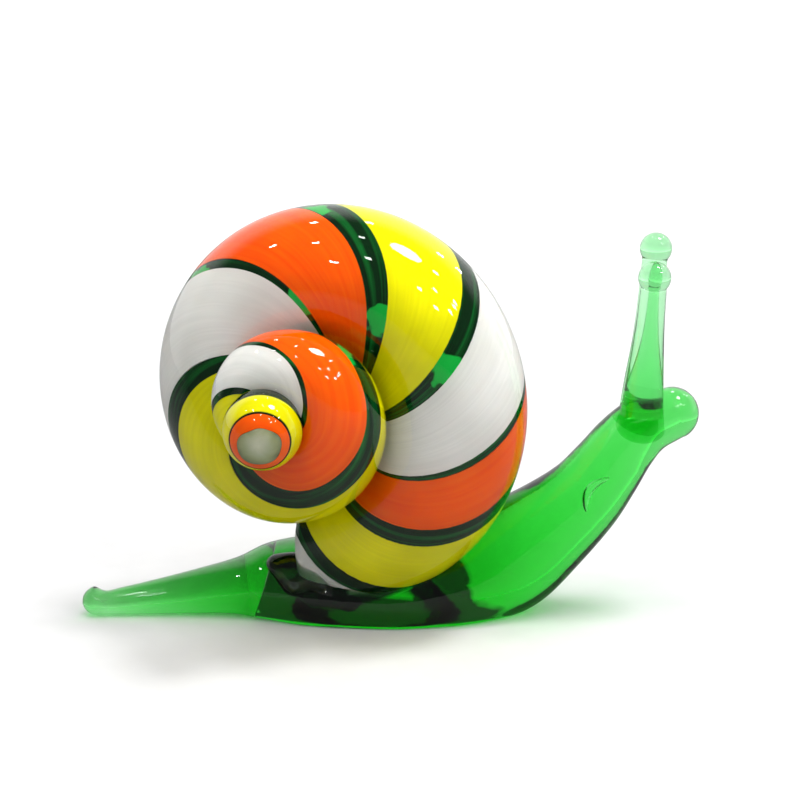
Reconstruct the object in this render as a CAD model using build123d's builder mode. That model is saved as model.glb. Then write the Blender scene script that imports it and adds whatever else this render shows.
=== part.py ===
from build123d import *
import os
from math import cos, pi, radians, sin, sqrt

# A lampworked glass snail. A striped glass cane is wound into the shell, which sits in a
# saddle on the foot. Foot and neck are one gather of green glass, with the tail and two
# ball-ended tentacles fused on.
# Frame: origin on the table under the middle of the sole, +X to the head, +Z up,
# and the shell's apex points to -Y. Millimetres.

# Body
tail_reach = 29.5
tail_bead_radius = 1.45
tail_sway = 1.8
tail_joint_reach = 13.6
tail_joint_lean = 17.0
foot_half_width = 6.9
foot_half_height = 5.5
neck_reach = 28.2
head_height = 20.6
head_radius = 2.65

# Tentacles: root and ball centres are measured from the head's centre
tentacle_root_radius = 1.95
tentacle_tip_radius = 1.25
tentacle_ball_radius = 1.58
near_root_back = 3.3
near_root_side = 1.3
near_root_drop = 1.9
near_ball_back = 2.4
near_ball_side = 4.0
near_ball_rise = 14.7
far_root_back = 3.4
far_root_side = 1.1
far_root_drop = 1.6
far_ball_back = 1.8
far_ball_side = 2.5
far_ball_rise = 16.2

# Weld
weld_back = 7.4
weld_side = 4.1
weld_height = 4.4
weld_half_length = 5.2
weld_half_width = 2.1
weld_slope = 24.0

# Shell
cane_radius = 7.6
cane_wall = 0.42
stripe_depth = 0.6
shell_back = 5.5
shell_side = 1.0
saddle_floor = 1.1
apex_swing = 22.1
apex_lift = 3.1
coil_start = -126.0
coil_begin = 0.1
coil_end = 2.05
coil_gap = 0.48

# Drop of glass at the end of the cane
drop_radius = 3.75
drop_swing = 2.3
drop_dip = 9.2
drop_side = 0.7
drop_fall = 1.3
drop_foot_depth = 1.6
drop_foot_radius = 3.2
orange_ring = (29, 50)
yellow_ring = (55, 86)

# Fits
fit_gap = 0.08
seam_flat = 0.1

seam_angles = (0, 100, 230, 360)

# The coil at each quarter turn, as shares of the cane's radius
cane_share = (0.859, 0.945, 1.0, 0.976, 0.879, 0.728, 0.557, 0.403, 0.263, 0.21)
orbit_share = (2.275, 1.871, 1.505, 1.172, 0.892, 0.664, 0.5, 0.408, 0.375, 0.33)
rise_share = (-0.089, 0.118, 0.382, 0.697, 1.042, 1.383, 1.692, 1.947, 2.125, 2.25)
# Twist of the stripes at each quarter turn, in whole turns about the cane
twist_share = (-0.678, 0.324, 1.178, 1.65, 2.056, 2.305, 2.471, 2.729, 3.25, 3.9)
# Where each stripe starts and ends round the cane, in whole turns
yellow_share = (0.075, 0.335)
orange_share = (0.419, 0.655)
white_share = (0.68, 1.0)
# The gap between a stripe and the rib beside it
rib_gap_share = 0.004

# The foot and tail from the tail's bead to the middle of the sole: reach, half width,
# half height, and the height of the centre over the sole as a share of the half height
tail_shares = (
    (0.97, 0.19, 0.22, 0.99),
    (0.915, 0.22, 0.25, 0.97),
    (0.81, 0.28, 0.31, 0.96),
    (0.67, 0.38, 0.40, 0.95),
    (0.525, 0.52, 0.51, 0.93),
    (0.41, 0.69, 0.73, 0.72),
    (0.25, 0.88, 0.93, 0.48),
    (0.0, 1.0, 1.0, 0.40),
)
# The neck from the sole to the head: reach, rise, half width, half height
neck_shares = (
    (0.18, 0.135, 0.95, 1.02),
    (0.29, 0.18, 0.88, 1.02),
    (0.423, 0.28, 0.72, 1.08),
    (0.548, 0.405, 0.62, 0.93),
    (0.69, 0.575, 0.53, 0.76),
    (0.771, 0.718, 0.49, 0.67),
    (0.84, 0.852, 0.45, 0.6),
    (0.91, 0.945, 0.42, 0.54),
    (1.0, 1.0, 0.38, 0.475),
)
neck_tilts = (6, 16, 33, 45, 48, 53, 50, 36, 20)
bead_angles = (84, 70, 50, 28, 0)
# A tentacle's stalk between root and ball: width as a share of the root's, and how far along
near_stalk_shares = ((0.96, 0.25), (0.82, 0.5))
far_stalk_shares = ((0.86, 0.25), (0.66, 0.5))

# How finely curves are followed
coil_steps = 64
rim_steps = 16
gap_steps = 200
nudge_share = 0.001
# Whorls lie side by side where they are about one turn apart
beside_share = (0.7, 1.3)


def between(shares, turn):
    """A smooth curve through the quarter-turn shares."""
    place = turn * 4
    i = min(max(int(place), 0), len(shares) - 2)
    f = place - i
    a = shares[max(i - 1, 0)] if i > 0 else 2 * shares[0] - shares[1]
    b = shares[i]
    c = shares[i + 1]
    d = shares[i + 2] if i + 2 < len(shares) else 2 * c - b
    return b + f * (c - a) / 2 + f * f * (2 * a - 5 * b + 4 * c - d) / 2 + f**3 * (3 * b - a - 3 * c + d) / 2


# The shell's own directions: out along its axis to the apex, to the right, and up
apex_turn = radians(apex_swing)
apex_tilt = radians(apex_lift)
apex_way = Vector(-sin(apex_turn) * cos(apex_tilt), -cos(apex_turn) * cos(apex_tilt), sin(apex_tilt))
right_way = Vector(cos(apex_turn), -sin(apex_turn), 0)
up_way = apex_way.cross(right_way)


def coil_offset(turn):
    """Where the cane's centre is at a turn, from the shell's centre."""
    angle = radians(coil_start) + 2 * pi * turn
    orbit = cane_radius * between(orbit_share, turn)
    rise = cane_radius * between(rise_share, turn)
    return right_way * (orbit * cos(angle)) + up_way * (orbit * sin(angle)) + apex_way * rise


def cane_size(turn):
    """The cane's outer radius at a turn, drawn thinner to leave the gap between whorls."""
    return cane_radius * between(cane_share, turn) - coil_gap / 2


coil_span = coil_end - coil_begin
turns = [coil_begin + step / coil_steps for step in range(int(coil_span * coil_steps) + 1)]
coil_drop = min(coil_offset(turn).Z - cane_size(turn) for turn in turns)
shell_centre = Vector(-shell_back, shell_side, saddle_floor - coil_drop)


def coil_plane(turn):
    """The plane square to the cane, with X out from the shell's axis and Y to the apex."""
    along = (coil_offset(turn + nudge_share) - coil_offset(turn - nudge_share)).normalized()
    here = coil_offset(turn)
    out = here - apex_way * here.dot(apex_way)
    out = (out - along * out.dot(along)).normalized()
    return Plane(origin=shell_centre + here, x_dir=out, z_dir=along * -1)


def least_gap():
    """The smallest gap between whorls, measured on points along the cane."""
    fine = [coil_begin + step / gap_steps for step in range(int(coil_span * gap_steps) + 1)]
    marks = [(turn, coil_offset(turn), cane_size(turn)) for turn in fine]
    near, far = beside_share
    gaps = [(b - q).length - r - s for t, b, r in marks for u, q, s in marks if near < u - t < far]
    return min(gaps)


print(f"least gap between whorls {least_gap():.2f} mm")
print(f"shell centre {shell_centre}")

# How deep each layer of the cane lies: drawn glass keeps its layers in proportion
wall_share = cane_wall / cane_radius
depth_share = stripe_depth / cane_radius


def stripe_top(turn):
    return cane_size(turn) * (1 - wall_share) - fit_gap


def stripe_floor(turn):
    return cane_size(turn) * (1 - wall_share - depth_share) - fit_gap


def stripe_angle(share, turn):
    return 360 * (share - between(twist_share, turn))


def stripe_section(span, turn):
    """One stripe's cross-section: a sector of a ring."""
    start = stripe_angle(span[0], turn)
    size = 360 * (span[1] - span[0])
    with BuildSketch(coil_plane(turn)) as section:
        with BuildLine():
            top = CenterArc((0, 0), stripe_top(turn), start, size)
            floor = CenterArc((0, 0), stripe_floor(turn), start, size)
            Line(top @ 0, floor @ 0)
            Line(top @ 1, floor @ 1)
        make_face()
    return section.sketch


def core_section(turn):
    """The core's cross-section: a round rod with a rib standing between each two stripes."""
    spans = (yellow_share, orange_share, white_share)
    rod = stripe_floor(turn) - fit_gap
    rib = stripe_top(turn)
    slack = 360 * rib_gap_share
    with BuildSketch(coil_plane(turn)) as section:
        with BuildLine():
            for span, after in zip(spans, spans[1:] + spans[:1]):
                low = stripe_angle(span[0], turn) - slack
                high = stripe_angle(span[1], turn) + slack
                wrap = 1 if after is spans[0] else 0
                next_low = stripe_angle(after[0] + wrap, turn) - slack
                groove = CenterArc((0, 0), rod, low, high - low)
                crest = CenterArc((0, 0), rib, high, next_low - high)
                Line(groove @ 1, crest @ 0)
                end = rod * cos(radians(next_low)), rod * sin(radians(next_low))
                Line(crest @ 1, end)
        make_face()
    return section.sketch


def round_section(radius, turn):
    """A disc across the cane. Its edge is three arcs with a hair-fine flat after each."""
    flat = degrees_for(seam_flat, radius)
    with BuildSketch(coil_plane(turn)) as section:
        with BuildLine():
            for low, high in zip(seam_angles, seam_angles[1:]):
                arc = CenterArc((0, 0), radius, low, high - low - flat)
                corner = radius * cos(radians(high)), radius * sin(radians(high))
                Line(arc @ 1, corner)
        make_face()
    return section.sketch


def degrees_for(length, radius):
    """The angle that a length takes up on a circle."""
    return 180 * length / (pi * radius)


# The drop's own direction. It is seated where it just clears every whorl behind it.
drop_turn = radians(drop_swing)
drop_tilt = radians(drop_dip)
drop_way = Vector(-sin(drop_turn) * cos(drop_tilt), -cos(drop_turn) * cos(drop_tilt), -sin(drop_tilt))
drop_line = shell_centre + right_way * drop_side - up_way * drop_fall


def reach_along(way, turn):
    """How far the cane reaches along a direction at a turn, from the drop's line."""
    cut = coil_plane(turn)
    return (cut.origin - drop_line).dot(way) + cane_size(turn) * sqrt(1 - cut.z_dir.dot(way) ** 2)


seat_reach = max(reach_along(drop_way, turn) for turn in turns if turn > 1)
axis_reach = seat_reach / apex_way.dot(drop_way)
drop_centre = drop_line + apex_way * axis_reach + drop_way * fit_gap
print(f"drop centre {drop_centre}")

# Cane core: the green rod
with BuildPart() as cane_core:
    loft(sections=[core_section(turn) for turn in turns])
cane_core.part.label = "cane_core"
export_step(cane_core.part, "parts/cane_core.step")

# White stripe
with BuildPart() as white_stripe:
    loft(sections=[stripe_section(white_share, turn) for turn in turns])
white_stripe.part.label = "white_stripe"
export_step(white_stripe.part, "parts/white_stripe.step")

# Yellow stripe
with BuildPart() as yellow_stripe:
    loft(sections=[stripe_section(yellow_share, turn) for turn in turns])
yellow_stripe.part.label = "yellow_stripe"
export_step(yellow_stripe.part, "parts/yellow_stripe.step")

# Orange stripe
with BuildPart() as orange_stripe:
    loft(sections=[stripe_section(orange_share, turn) for turn in turns])
orange_stripe.part.label = "orange_stripe"
export_step(orange_stripe.part, "parts/orange_stripe.step")

# Cane casing: the clear skin over the stripes
with BuildPart() as cane_casing:
    loft(sections=[round_section(cane_size(turn), turn) for turn in turns])
    inside = [round_section(cane_size(turn) * (1 - wall_share), turn) for turn in turns]
    loft(sections=inside, mode=Mode.SUBTRACT)
cane_casing.part.label = "cane_casing"
export_step(cane_casing.part, "parts/cane_casing.step")

# The drop is turned about its own direction, with its layers in the same order as the cane's
drop_across = drop_way.cross(Vector(0, 0, 1)).normalized()
drop_plane = Plane(origin=drop_centre, x_dir=drop_across, z_dir=drop_across.cross(drop_way))
drop_axis = Axis(drop_centre, drop_way)
drop_inside = drop_radius - cane_wall
ring_top = drop_inside - fit_gap
ring_floor = ring_top - stripe_depth
core_top = ring_floor - fit_gap


def ring_sketch(outer, inner, first, last):
    """A band of the drop's profile between two angles from its tip."""
    with BuildSketch(drop_plane) as band:
        with BuildLine():
            top = CenterArc((0, 0), outer, 90 - last, last - first)
            floor = CenterArc((0, 0), inner, 90 - last, last - first)
            Line(top @ 0, floor @ 0)
            Line(top @ 1, floor @ 1)
        make_face()
    return band.sketch


def drop_pie(outer, first, last):
    """A slice of the drop's profile from its centre, between two angles from its tip."""
    with BuildSketch(drop_plane) as slice_face:
        with BuildLine():
            rim = CenterArc((0, 0), outer, 90 - last, last - first)
            Line((0, 0), rim @ 0)
            Line(rim @ 1, (0, 0))
        make_face()
    return slice_face.sketch_local


# The room that the cane takes up in the glass around it, with a little over at both ends
room_turns = [coil_begin + step / coil_steps for step in range(-1, len(turns) + 1)]
with BuildPart() as cane_room:
    loft(sections=[round_section(cane_size(turn) + fit_gap, turn) for turn in room_turns])
print(f"cane room {cane_room.part.volume:.0f} mm3")

# Drop core: green, with a clear tip, a rib between the rings, and a foot round the cane's end
ring_slack = degrees_for(fit_gap, ring_floor)
drop_foot_plane = Plane(origin=drop_centre - drop_way * drop_foot_depth, x_dir=drop_across, z_dir=drop_way)
with BuildPart() as drop_core:
    with BuildSketch(drop_plane):
        add(drop_pie(core_top, 0, 90))
        add(drop_pie(ring_top, 0, orange_ring[0] - ring_slack))
        add(drop_pie(ring_top, orange_ring[1] + ring_slack, yellow_ring[0] - ring_slack))
    revolve(axis=drop_axis)
    with BuildSketch(drop_foot_plane):
        Circle(drop_foot_radius)
    extrude(amount=drop_foot_depth)
    add(cane_room.part, mode=Mode.SUBTRACT)
drop_core.part.label = "drop_core"
export_step(drop_core.part, "parts/drop_core.step")

# Drop yellow ring
with BuildPart() as drop_yellow_ring:
    add(ring_sketch(ring_top, ring_floor, yellow_ring[0], yellow_ring[1]))
    revolve(axis=drop_axis)
drop_yellow_ring.part.label = "drop_yellow_ring"
export_step(drop_yellow_ring.part, "parts/drop_yellow_ring.step")

# Drop orange ring
with BuildPart() as drop_orange_ring:
    add(ring_sketch(ring_top, ring_floor, orange_ring[0], orange_ring[1]))
    revolve(axis=drop_axis)
drop_orange_ring.part.label = "drop_orange_ring"
export_step(drop_orange_ring.part, "parts/drop_orange_ring.step")

# Drop casing: the clear dome
with BuildPart() as drop_casing:
    with BuildSketch(drop_plane):
        with BuildLine():
            outer = CenterArc((0, 0), drop_radius, 0, 90)
            inner = CenterArc((0, 0), drop_inside, 0, 90)
            Line(outer @ 0, inner @ 0)
            Line(outer @ 1, inner @ 1)
        make_face()
    revolve(axis=drop_axis)
drop_casing.part.label = "drop_casing"
export_step(drop_casing.part, "parts/drop_casing.step")


def oval_section(plane, half_width, half_height):
    """A slice of the body: an oval with a hair-fine flat underneath."""
    edge = seam_flat / half_width
    places = [edge + (2 * pi - 2 * edge) * step / rim_steps for step in range(rim_steps + 1)]
    with BuildSketch(plane) as section:
        with BuildLine():
            rim = Spline(*[(half_width * sin(place), -half_height * cos(place)) for place in places])
            Line(rim @ 1, rim @ 0)
        make_face()
    return section.sketch


def bead_sections():
    """The slices of the round bead at the tail's end."""
    slices = []
    for turn_back in bead_angles:
        size = tail_bead_radius * cos(radians(turn_back))
        place = -tail_reach - tail_bead_radius * sin(radians(turn_back))
        middle = (place, -tail_sway, tail_bead_radius)
        slices.append(oval_section(Plane(origin=middle, x_dir=(0, 1, 0), z_dir=(1, 0, 0)), size, size))
    return slices


def body_sections():
    """The slices from the tail's bead to the head."""
    slices = bead_sections()
    for reach, width, height, lift in tail_shares:
        half_height = foot_half_height * height
        middle = (-tail_reach * reach, -tail_sway * reach * reach, half_height * lift)
        plane = Plane(origin=middle, x_dir=(0, 1, 0), z_dir=(1, 0, 0))
        slices.append(oval_section(plane, foot_half_width * width, half_height))
    for (reach, rise, width, height), tilt in zip(neck_shares, neck_tilts):
        middle = (neck_reach * reach, 0, head_height * rise)
        ahead = (cos(radians(tilt)), 0, sin(radians(tilt)))
        plane = Plane(origin=middle, x_dir=(0, 1, 0), z_dir=ahead)
        slices.append(oval_section(plane, foot_half_width * width, foot_half_height * height))
    return slices


# The whole gather before the tail is told apart from the foot
head_centre = Vector(neck_reach, 0, head_height)
with BuildPart() as gather:
    loft(sections=body_sections())
    with Locations(head_centre):
        Sphere(head_radius)
    split(bisect_by=Plane.XY, keep=Keep.TOP)

joint_lean = radians(tail_joint_lean)
joint_way = Vector(cos(joint_lean), 0, -sin(joint_lean))
joint_place = Vector(-tail_joint_reach, 0, 0)

# Foot, neck and head
with BuildPart() as foot_and_neck:
    add(gather.part)
    split(bisect_by=Plane(origin=joint_place + joint_way * fit_gap, z_dir=joint_way), keep=Keep.TOP)
    add(cane_room.part, mode=Mode.SUBTRACT)
foot_and_neck.part.label = "foot_and_neck"
export_step(foot_and_neck.part, "parts/foot_and_neck.step")

# Tail
with BuildPart() as tail:
    add(gather.part)
    split(bisect_by=Plane(origin=joint_place, z_dir=joint_way), keep=Keep.BOTTOM)
    add(cane_room.part, mode=Mode.SUBTRACT)
tail.part.label = "tail"
export_step(tail.part, "parts/tail.step")


def tentacle_profile(root, ball, stalk_shares):
    """Half of a tentacle's outline, with its root on the axis and its ball at the end."""
    way = (ball - root).normalized()
    length = (ball - root).length
    side = way.cross(Vector(0, 1, 0)).normalized()
    neck = sqrt(tentacle_ball_radius**2 - tentacle_tip_radius**2)
    with BuildSketch(Plane(origin=root, x_dir=side, z_dir=side.cross(way))) as half:
        with BuildLine():
            Line((0, 0), (tentacle_root_radius, 0))
            places = [(tentacle_root_radius * width, length * along) for width, along in stalk_shares]
            stalk = Spline((tentacle_root_radius, 0), *places, (tentacle_tip_radius, length - neck))
            ThreePointArc(stalk @ 1, (tentacle_ball_radius, length), (0, length + tentacle_ball_radius))
            Line((0, length + tentacle_ball_radius), (0, 0))
        make_face()
    return half.sketch


near_root = head_centre + Vector(-near_root_back, -near_root_side, -near_root_drop)
near_ball = head_centre + Vector(-near_ball_back, -near_ball_side, near_ball_rise)
far_root = head_centre + Vector(-far_root_back, far_root_side, -far_root_drop)
far_ball = head_centre + Vector(-far_ball_back, far_ball_side, far_ball_rise)

# Near tentacle
with BuildPart() as near_tentacle:
    add(tentacle_profile(near_root, near_ball, near_stalk_shares))
    revolve(axis=Axis(near_root, near_ball - near_root))
    add(foot_and_neck.part, mode=Mode.SUBTRACT)
near_tentacle.part.label = "near_tentacle"
export_step(near_tentacle.part, "parts/near_tentacle.step")

# Far tentacle
with BuildPart() as far_tentacle:
    add(tentacle_profile(far_root, far_ball, far_stalk_shares))
    revolve(axis=Axis(far_root, far_ball - far_root))
    add(foot_and_neck.part, mode=Mode.SUBTRACT)
    add(near_tentacle.part, mode=Mode.SUBTRACT)
far_tentacle.part.label = "far_tentacle"
export_step(far_tentacle.part, "parts/far_tentacle.step")

# Weld: the lump of glass that fuses the start of the cane to the foot
weld_tilt = radians(weld_slope)
weld_way = Vector(cos(weld_tilt), 0, -sin(weld_tilt))
weld_centre = Vector(-weld_back, -weld_side, weld_height)
with BuildPart() as weld:
    with BuildSketch(Plane(origin=weld_centre, x_dir=weld_way, z_dir=(0, -1, 0))):
        with BuildLine():
            rim = EllipticalCenterArc((0, 0), weld_half_length, weld_half_width, start_angle=0, arc_size=180)
            Line(rim @ 1, rim @ 0)
        make_face()
    revolve(axis=Axis(weld_centre, weld_way))
    add(cane_room.part, mode=Mode.SUBTRACT)
    add(foot_and_neck.part, mode=Mode.SUBTRACT)
    add(tail.part, mode=Mode.SUBTRACT)
weld.part.label = "weld"
export_step(weld.part, "parts/weld.step")
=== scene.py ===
# %% [markdown]
# # A lampworked glass snail
# The figurine is made at a torch. A thick cane of dark green glass, striped with three opaque
# colours and cased in clear glass, is wound into the shell. Foot, neck, tail and tentacles are
# plain green glass. Nothing on it moves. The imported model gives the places, and this lesson
# rebuilds each piece with smooth meshes, because glass shows every facet by its reflections.

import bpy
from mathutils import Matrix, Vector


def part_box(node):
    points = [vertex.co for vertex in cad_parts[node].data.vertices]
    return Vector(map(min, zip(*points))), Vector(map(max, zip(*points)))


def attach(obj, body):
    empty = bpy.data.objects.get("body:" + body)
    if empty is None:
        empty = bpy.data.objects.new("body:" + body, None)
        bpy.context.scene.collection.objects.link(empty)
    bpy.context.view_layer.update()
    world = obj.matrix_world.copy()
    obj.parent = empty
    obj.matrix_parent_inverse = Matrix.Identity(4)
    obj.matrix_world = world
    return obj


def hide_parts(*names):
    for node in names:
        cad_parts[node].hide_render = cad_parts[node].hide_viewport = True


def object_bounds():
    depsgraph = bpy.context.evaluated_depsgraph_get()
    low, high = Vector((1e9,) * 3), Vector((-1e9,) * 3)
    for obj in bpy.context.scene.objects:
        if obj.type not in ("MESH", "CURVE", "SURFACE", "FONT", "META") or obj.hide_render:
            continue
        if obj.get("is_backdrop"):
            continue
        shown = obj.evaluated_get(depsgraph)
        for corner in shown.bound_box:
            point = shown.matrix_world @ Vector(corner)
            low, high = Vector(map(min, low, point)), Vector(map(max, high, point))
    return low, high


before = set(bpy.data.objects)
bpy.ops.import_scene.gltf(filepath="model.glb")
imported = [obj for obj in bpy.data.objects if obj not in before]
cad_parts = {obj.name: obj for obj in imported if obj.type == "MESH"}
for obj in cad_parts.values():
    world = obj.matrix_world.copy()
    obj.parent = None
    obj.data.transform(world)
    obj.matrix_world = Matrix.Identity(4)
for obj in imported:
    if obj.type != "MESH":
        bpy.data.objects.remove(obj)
cad_low, cad_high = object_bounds()
print("CAD nodes:", ", ".join(sorted(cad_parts)))

# %% Modules
from math import cos, pi, radians, sin

import bmesh
import bpy
import numpy as np

# %% [markdown]
# ## Units and curves
# Blender works in metres and the figurine is easiest to think of in millimetres, so all shapes
# below are in millimetres and are scaled once, where a mesh is made. Places along a curve are
# tables of a few values, joined by a Catmull-Rom curve: it passes through each value smoothly.

# %% One curve for all the tables
MM = 0.001


def between(values, place):
    """The value of a smooth curve through a table, at a place counted in table steps."""
    i = min(max(int(place), 0), len(values) - 2)
    f = place - i
    b, c = values[i], values[i + 1]
    a = values[i - 1] if i > 0 else 2 * b - c
    d = values[i + 2] if i + 2 < len(values) else 2 * c - b
    bend = 2 * a - 5 * b + 4 * c - d
    twist = 3 * b - a - 3 * c + d
    return b + f * (c - a) / 2 + f * f * bend / 2 + f**3 * twist / 2


def unit(v):
    """A vector, or each row of several, at length one."""
    v = np.asarray(v, float)
    return v / np.linalg.norm(v, axis=-1, keepdims=True)


print("halfway between 1 and 2:", between([0, 1, 2, 3], 1.5))

# %% [markdown]
# ## Meshes from rings
# Melted glass has no edges, so every piece is a skin over a row of rings. The ends are closed
# with a fan of triangles, which keeps each mesh a closed solid, as refraction needs.

# %% Make a piece from points and faces
SHARP_EDGE = radians(40)


def make_piece(name, points, faces, soft=True):
    """An object from points in millimetres and faces, with its normals turned outward."""
    mesh = bpy.data.meshes.new(name)
    mesh.from_pydata((points * MM).tolist(), [], faces)
    shape = bmesh.new()
    shape.from_mesh(mesh)
    bmesh.ops.recalc_face_normals(shape, faces=shape.faces)
    shape.to_mesh(mesh)
    shape.free()
    mesh.shade_smooth()
    if not soft:
        mesh.set_sharp_from_angle(angle=SHARP_EDGE)
    piece = bpy.data.objects.new(name, mesh)
    bpy.context.scene.collection.objects.link(piece)
    return piece


# %% Skin a row of rings
def quads(count, size, looped=False):
    """Faces from each ring to the next one, and from the last to the first where looped."""
    faces = []
    for i in range(count if looped else count - 1):
        after = (i + 1) % count
        for j in range(size):
            k = (j + 1) % size
            faces.append((i * size + j, i * size + k, after * size + k, after * size + j))
    return faces


def skin(name, rings, soft=True):
    """A closed mesh over rings, an array of rings x points x 3 in millimetres."""
    rings = np.asarray(rings, float)
    count, size = rings.shape[:2]
    points = np.vstack([rings.reshape(-1, 3), rings[0].mean(0), rings[-1].mean(0)])
    faces = quads(count, size)
    for j in range(size):
        k = (j + 1) % size
        faces.append((j, k, count * size))
        faces.append(((count - 1) * size + k, (count - 1) * size + j, count * size + 1))
    print(f"{name}: {count} rings of {size} points")
    return make_piece(name, points, faces, soft)


# %% Tie a piece to the frame
def settle(piece, node, material):
    """The piece stands for a CAD node and with its glass."""
    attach(piece, "root")
    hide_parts(node)
    piece.data.materials.append(material)
    return piece


# %% [markdown]
# ## Colour and nodes
# Colours are written as sRGB hex, as a paint program shows them, and turned to the linear
# values that the renderer works with. One helper adds a node, sets it and links it.

# %% Colour and node helpers
def linear(code):
    """A linear RGBA colour from an sRGB hex code."""
    parts = [int(code[i:i + 2], 16) / 255 for i in (1, 3, 5)]
    return (*[p / 12.92 if p <= 0.04045 else ((p + 0.055) / 1.055) ** 2.4 for p in parts], 1)


def add(tree, kind, settings=None, links=None):
    """A node with its settings and links. A key that names or numbers a socket sets that socket."""
    made = tree.nodes.new(kind)
    for key, value in (settings or {}).items():
        if isinstance(key, int) or key in made.inputs:
            made.inputs[key].default_value = value
        else:
            setattr(made, key, value)
    for socket, source in (links or {}).items():
        tree.links.new(source, made.inputs[socket])
    return made


def per_metre(size_mm):
    """The scale of a pattern whose features are that many millimetres apart."""
    return 1 / (size_mm * MM)


def new_material(name):
    """An empty material and its node tree."""
    made = bpy.data.materials.new(name)
    made.use_nodes = True
    made.node_tree.nodes.clear()
    return made, made.node_tree


print("orange in linear light:", [round(v, 3) for v in linear("#ee6214")])

# %% [markdown]
# ## Transparent soda-lime glass, fire polished
# The rod is soft soda-lime glass, index of refraction 1.52. Its green comes from the body of
# the glass and not from its skin, so it is an absorption: a thin tentacle is pale and the
# thick foot is deep green. The flame leaves the skin bright, with faint waves a few
# millimetres apart. Lamps reach what is behind the glass through a clear stand-in, because a
# path tracer finds a small lamp through curved glass only by luck.

# %% Transparent glass
GLASS_IOR = 1.52
WAVE_MM, FINE_WAVE_MM = 3.5, 0.9
FINE_SHARE = 0.25
WAVE_DEPTH_MM = 0.1


def clear_glass(name, body_colour, density, lamp_colour, least_rough, most_rough, wave, fused=None):
    """Fire-polished glass that absorbs light along its depth: the material and its shader.

    fused is a place and a direction: the skin behind that plane is melted to another gather,
    where light goes on unbent.
    """
    made, tree = new_material(name)
    place = add(tree, "ShaderNodeTexCoord")
    mottle = add(tree, "ShaderNodeTexNoise", {"Scale": per_metre(WAVE_MM), "Detail": 3.0},
                 {"Vector": place.outputs["Object"]})
    rough = add(tree, "ShaderNodeMapRange", {"To Min": least_rough, "To Max": most_rough},
                {"Value": mottle.outputs["Fac"]})
    fine = add(tree, "ShaderNodeTexNoise", {"Scale": per_metre(FINE_WAVE_MM), "Detail": 1.0},
               {"Vector": place.outputs["Object"]})
    waves = add(tree, "ShaderNodeMix", {"Factor": FINE_SHARE},
                {"A": mottle.outputs["Fac"], "B": fine.outputs["Fac"]})
    bump = add(tree, "ShaderNodeBump", {"Strength": wave, "Distance": WAVE_DEPTH_MM * MM},
               {"Height": waves.outputs["Result"]})
    glass = add(tree, "ShaderNodeBsdfPrincipled",
                {"Base Color": linear("#ffffff"), "IOR": GLASS_IOR, "Transmission Weight": 1.0},
                {"Roughness": rough.outputs["Result"], "Normal": bump.outputs["Normal"]})
    for_lamps = add(tree, "ShaderNodeBsdfTransparent", {"Color": linear(lamp_colour)})
    through = add(tree, "ShaderNodeLightPath").outputs["Is Shadow Ray"]
    if fused:
        joint, ahead = fused
        offset = add(tree, "ShaderNodeVectorMath",
                     {"operation": "SUBTRACT", 1: tuple(joint * MM)}, {0: place.outputs["Object"]})
        height = add(tree, "ShaderNodeVectorMath",
                     {"operation": "DOT_PRODUCT", 1: tuple(ahead)}, {0: offset.outputs["Vector"]})
        sunk = add(tree, "ShaderNodeMath", {"operation": "LESS_THAN", 1: 0.0},
                   {0: height.outputs["Value"]})
        through = add(tree, "ShaderNodeMath", {"operation": "MAXIMUM"},
                      {0: through, 1: sunk.outputs["Value"]}).outputs["Value"]
    skin_mix = add(tree, "ShaderNodeMixShader", {},
                   {0: through, 1: glass.outputs["BSDF"], 2: for_lamps.outputs["BSDF"]})
    out = add(tree, "ShaderNodeOutputMaterial", {}, {"Surface": skin_mix.outputs["Shader"]})
    if density:
        body = add(tree, "ShaderNodeVolumeAbsorption",
                   {"Color": linear(body_colour), "Density": density})
        tree.links.new(body.outputs["Volume"], out.inputs["Volume"])
    return made, glass


# %% [markdown]
# Absorption is density times what the colour lacks, per metre. Through one millimetre of the
# foot about two thirds of the red and blue light passes and nearly all of the green. The tail
# and the weld are of darker gathers, and the tentacles are pulled from a paler one. Where the
# tentacles are sunk into the head there is no skin between the two glasses, so light goes
# straight on there.

# %% Green glasses and the clear casing
FOOT_DENSITY, TAIL_DENSITY, WELD_DENSITY, PALE_DENSITY = 440.0, 640.0, 600.0, 300.0
HEAD_JOINT = np.array([25.0, -2.0, 20.9]), unit([0.05, 0.0, 1.0])
tail_rod, _ = clear_glass("emerald_tail_gather", "#08e850", TAIL_DENSITY, "#c2e8c8",
                          least_rough=0.0, most_rough=0.04, wave=0.2)
weld_rod, _ = clear_glass("dark_weld_gather", "#0cc84c", WELD_DENSITY, "#b0d8b8",
                          least_rough=0.01, most_rough=0.06, wave=0.9)
pale_rod, _ = clear_glass("pale_emerald_pulled_rod", "#12f070", PALE_DENSITY, "#e4f7e6",
                          least_rough=0.0, most_rough=0.03, wave=0.1, fused=HEAD_JOINT)
# the foot's glass also carries painted shade in its colour, which is added further down
foot_rod, foot_bsdf = clear_glass("emerald_gather_painted_shade", "#0cf060", FOOT_DENSITY, "#a8d8b0",
                                  least_rough=0.0, most_rough=0.03, wave=0.3)
casing_glass, _ = clear_glass("clear_soda_lime_casing", "#ffffff", 0.0, "#fbfdfb",
                              least_rough=0.01, most_rough=0.04, wave=0.06)
print("materials:", tail_rod.name, weld_rod.name, pale_rod.name, foot_rod.name, casing_glass.name)
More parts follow.
